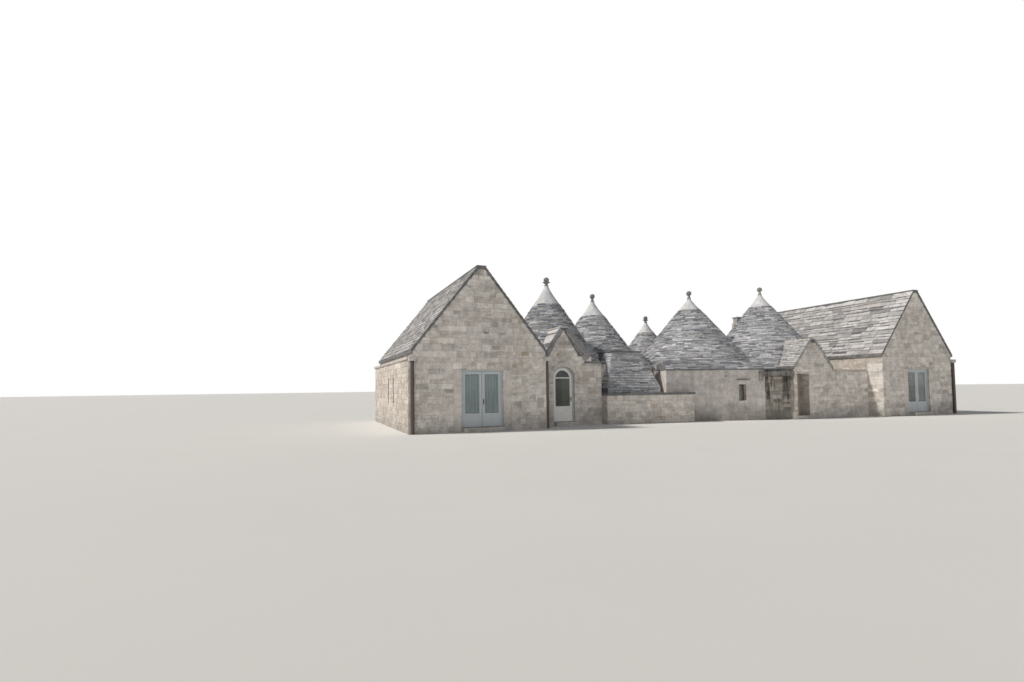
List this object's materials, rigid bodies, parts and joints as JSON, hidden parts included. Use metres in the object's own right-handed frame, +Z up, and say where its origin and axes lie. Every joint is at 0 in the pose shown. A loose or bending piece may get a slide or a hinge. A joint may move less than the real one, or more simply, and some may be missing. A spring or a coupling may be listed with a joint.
{
  "type": "trullo house",
  "caption": "Dry-stone trullo house: coursed stone cones with white caps and ball finials between gabled stone wings, with hinged doors and hollow rooms.",
  "frame": {"origin": "ground level, middle of the whole plan", "axes": "+X along the gable fronts from the west to the east lamia, +Y into the depth, +Z up"},
  "size_m": [26.13, 12.0458, 6.356],
  "materials": {
    "wall_stone": "rough dry limestone blocks",
    "limewash_wall": "old limewash over rubble stone",
    "stained_stone": "stone with black rain streaks",
    "roof_slabs": "weathered limestone slabs",
    "cone_stone": "thin weathered limestone courses",
    "dressed_stone": "dressed limestone",
    "floor_stone": "worn limestone flags",
    "lime_cap": "limewashed render",
    "finial_stone": "lichen-covered stone",
    "door_paint": "pale painted wood",
    "door_glass": "clear glass before dark rooms",
    "plank_wood": "dry planks",
    "hinge_iron": "dark wrought iron",
    "pipe_metal": "brown paint, semi-matt"
  },
  "bodies": {
    "masonry": {"lamia_front_piers": "wall_stone", "lamia_gables": "wall_stone", "lamia_outer_walls": "wall_stone", "lamia_inner_walls": "wall_stone", "lamia_rear_walls": "wall_stone", "lamia_roof_outer": "roof_slabs", "lamia_roof_inner": "roof_slabs", "lamia_ridge_slabs": "dressed_stone", "lamia_ledge_slabs": "dressed_stone", "stone_floors": "floor_stone", "doorsteps": "dressed_stone", "door_frames": "door_paint", "door_hinges": "hinge_iron", "east_door_leaves": "door_paint", "east_door_glass": "door_glass", "porch_1_wall": "wall_stone", "porch_2_wall": "wall_stone", "porch_gables": "wall_stone", "porch_roof_left": "roof_slabs", "porch_roof_right": "roof_slabs", "porch_ridge_slabs": "dressed_stone", "arch_ring": "dressed_stone", "trullo_side_walls": "wall_stone", "trullo_end_walls": "wall_stone", "wedge_wall": "wall_stone", "white_front_wall": "limewash_wall", "stained_bay_wall": "stained_stone", "gutter_stone": "stained_stone", "roof_skirt": "roof_slabs", "window_hood": "dressed_stone", "window_glass": "door_glass", "cone_1": "cone_stone", "cone_2": "cone_stone", "cone_3": "cone_stone", "cone_4": "cone_stone", "cone_5": "cone_stone", "cone_caps": "lime_cap", "cone_finials": "finial_stone", "chimney": "wall_stone", "oven": "roof_slabs", "coping_slabs": "dressed_stone", "courtyard_wall": "wall_stone", "rain_pipes": "pipe_metal"},
    "terrace_door_left": {"terrace_leaf_left": "door_paint", "terrace_glass_left": "door_glass"},
    "terrace_door_right": {"terrace_leaf_right": "door_paint", "terrace_glass_right": "door_glass"},
    "arched_door": {"arched_leaf": "door_paint", "arched_glass": "door_glass"},
    "plank_door": {"plank_leaf": "plank_wood"}
  },
  "joints": [
    {"name": "terrace_left_hinge", "type": "hinge", "parent": "masonry", "child": "terrace_door_left", "pos_m": [-11.116, -3.8849, 1], "axis": [0, 0, 1], "range_deg": [0, 90]},
    {"name": "terrace_right_hinge", "type": "hinge", "parent": "masonry", "child": "terrace_door_right", "pos_m": [-9.684, -3.8849, 1], "axis": [0, 0, -1], "range_deg": [0, 90]},
    {"name": "arched_hinge", "type": "hinge", "parent": "masonry", "child": "arched_door", "pos_m": [-7.106, -2.8449, 1], "axis": [0, 0, 1], "range_deg": [0, 90]},
    {"name": "plank_hinge", "type": "hinge", "parent": "masonry", "child": "plank_door", "pos_m": [4.191, -4.5649, 1], "axis": [0, 0, -1], "range_deg": [-35, 55]}
  ]
}
